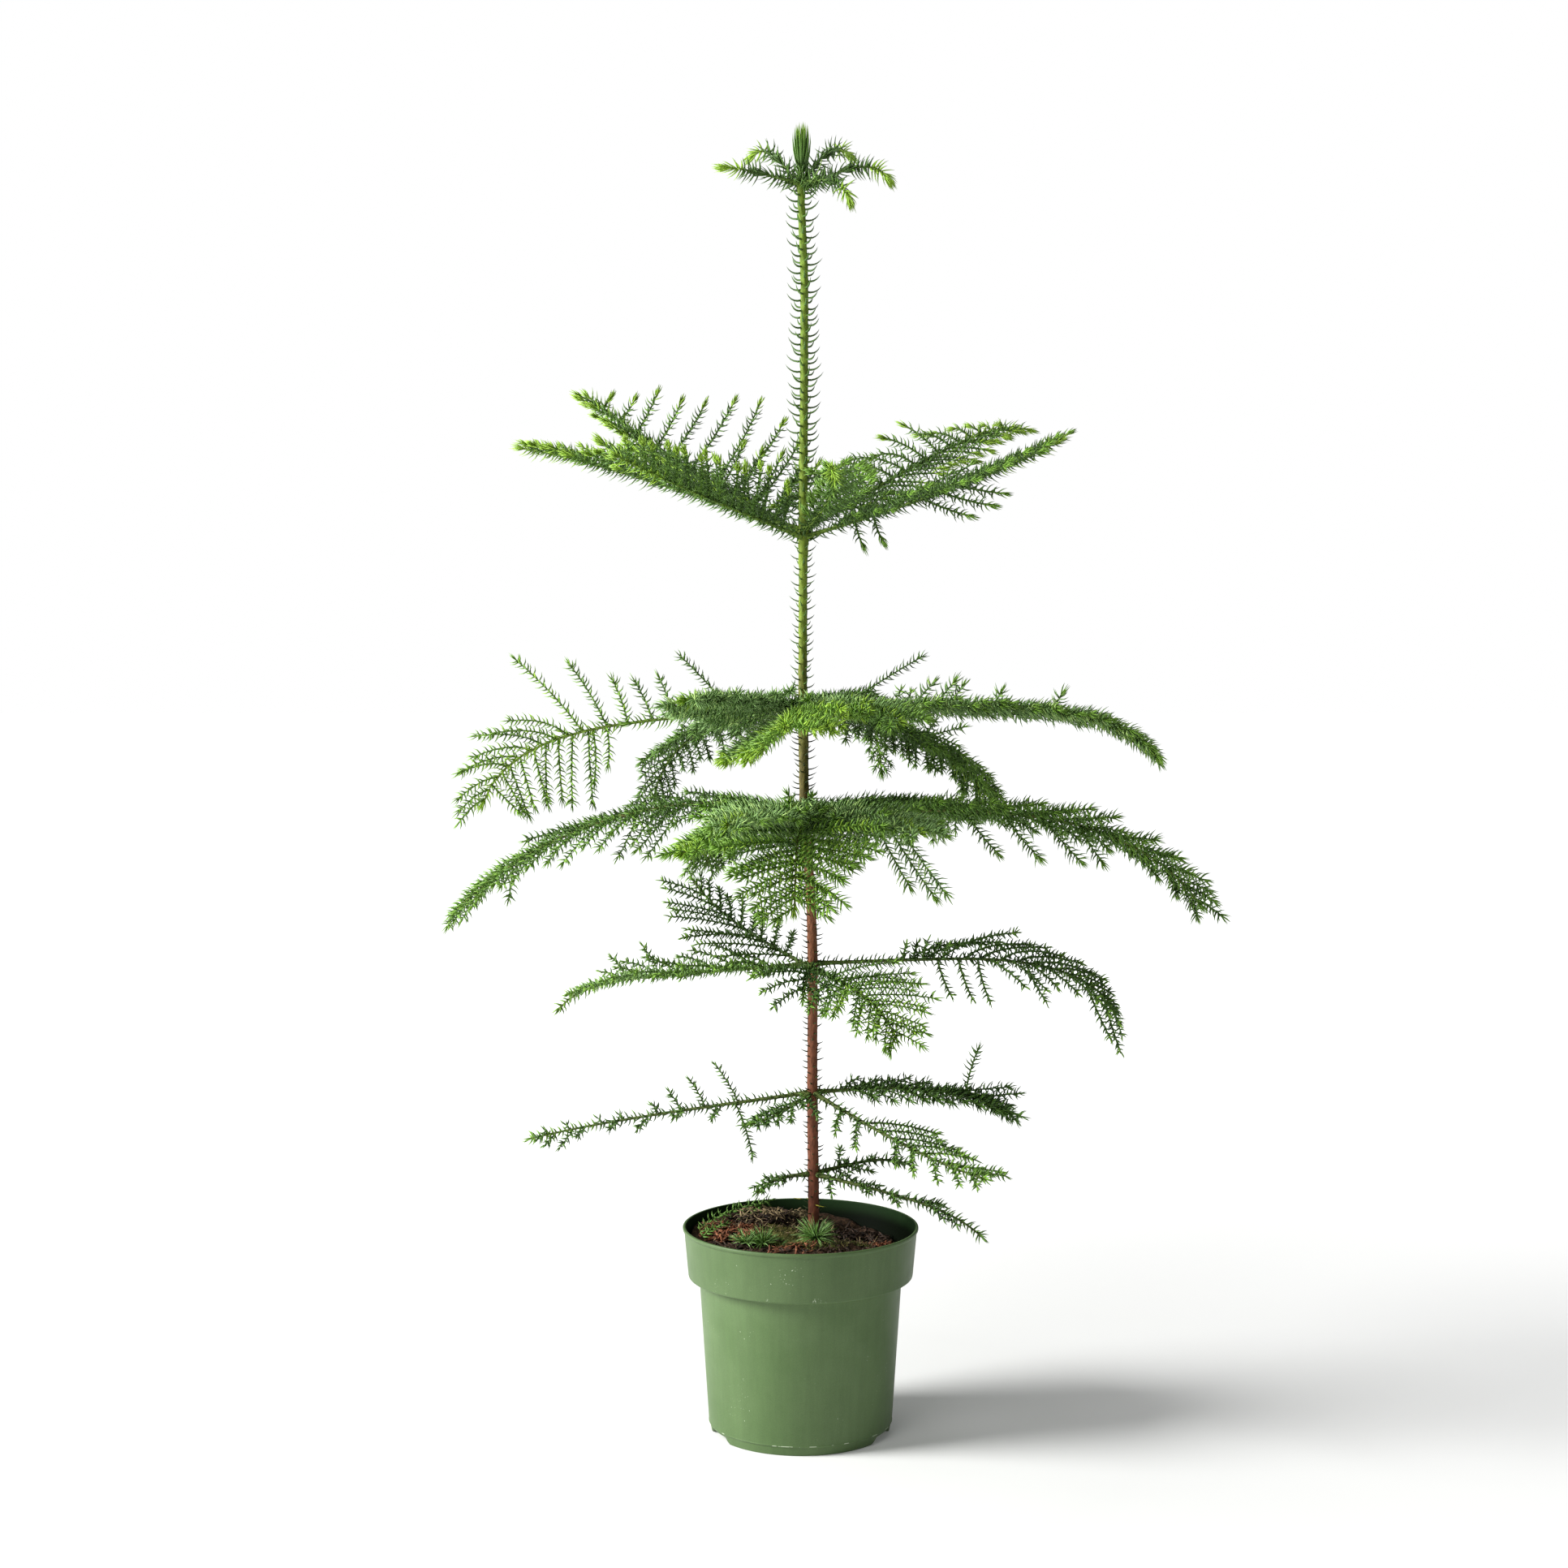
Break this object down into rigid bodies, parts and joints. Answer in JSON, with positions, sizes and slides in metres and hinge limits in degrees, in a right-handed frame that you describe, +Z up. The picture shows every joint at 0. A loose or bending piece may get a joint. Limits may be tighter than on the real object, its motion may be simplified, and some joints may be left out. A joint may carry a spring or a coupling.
{
  "type": "potted norfolk island pine",
  "caption": "Young potted conifer: a slender leaning trunk with whorls of feathery boughs that rise at the top and arch down below, in a round green nursery pot.",
  "frame": {"origin": "centre of the pot's flat underside", "axes": "+Z up along the trunk, -Y the front"},
  "size_m": [0.6482, 0.4505, 1.1146],
  "materials": {
    "pot": "satin moulded plastic, mid green, lightly scuffed",
    "soil": "bark chips, moss and potting mix",
    "trunk": "red-brown flaking bark low down, olive then green above",
    "boughs": "green to brown young bark",
    "foliage_top": "fresh green soft needles",
    "foliage_upper": "mid green soft needles with fresh tips",
    "foliage_middle": "deep green soft needles with fresh tips",
    "foliage_lower": "bluish deep green soft needles"
  },
  "bodies": {
    "root": {"pot": "pot", "soil": "soil", "trunk": "trunk", "foliage_leader": "foliage_top", "bough_w1_left": "boughs", "bough_w1_back_left": "boughs", "bough_w1_back_right": "boughs", "bough_w1_right": "boughs", "bough_w1_front": "boughs", "bough_w1_front_left": "boughs", "bough_w2_left": "boughs", "bough_w2_back_left": "boughs", "bough_w2_back_right": "boughs", "bough_w2_right": "boughs", "bough_w3_left": "boughs", "bough_w3_back_left": "boughs", "bough_w3_back_right": "boughs", "bough_w3_right": "boughs", "bough_w4_left": "boughs", "bough_w4_right": "boughs", "bough_w5_left": "boughs", "foliage_w0_left": "foliage_top", "foliage_w0_back_left": "foliage_top", "foliage_w0_back_right": "foliage_top", "foliage_w0_right": "foliage_top", "foliage_w0_front_right": "foliage_top", "foliage_w1_left": "foliage_upper", "foliage_w1_back_left": "foliage_upper", "foliage_w1_back_right": "foliage_upper", "foliage_w1_right": "foliage_upper", "foliage_w1_front": "foliage_upper", "foliage_w1_front_left": "foliage_upper", "foliage_w2_left": "foliage_middle", "foliage_w2_back_left": "foliage_middle", "foliage_w2_back": "foliage_middle", "foliage_w2_back_right": "foliage_middle", "foliage_w2_right": "foliage_middle", "foliage_w2_front_right": "foliage_middle", "foliage_w2_front": "foliage_middle", "foliage_w2_front_left": "foliage_middle", "foliage_w3_left": "foliage_middle", "foliage_w3_back_left": "foliage_middle", "foliage_w3_back_right": "foliage_middle", "foliage_w3_right": "foliage_middle", "foliage_w3_front_right": "foliage_middle", "foliage_w3_front": "foliage_middle", "foliage_w3_front_left": "foliage_middle", "foliage_w3_left_front": "foliage_middle", "foliage_w4_left": "foliage_lower", "foliage_w4_back_left": "foliage_lower", "foliage_w4_right": "foliage_lower", "foliage_w4_front_right": "foliage_lower", "foliage_w4_front": "foliage_lower", "foliage_w5_left": "foliage_lower", "foliage_w5_right": "foliage_lower", "foliage_w5_front_right": "foliage_lower", "foliage_w5_front": "foliage_lower", "foliage_w6_left": "foliage_lower", "foliage_w6_right": "foliage_lower", "foliage_w6_back_right": "foliage_lower"}
  },
  "joints": []
}
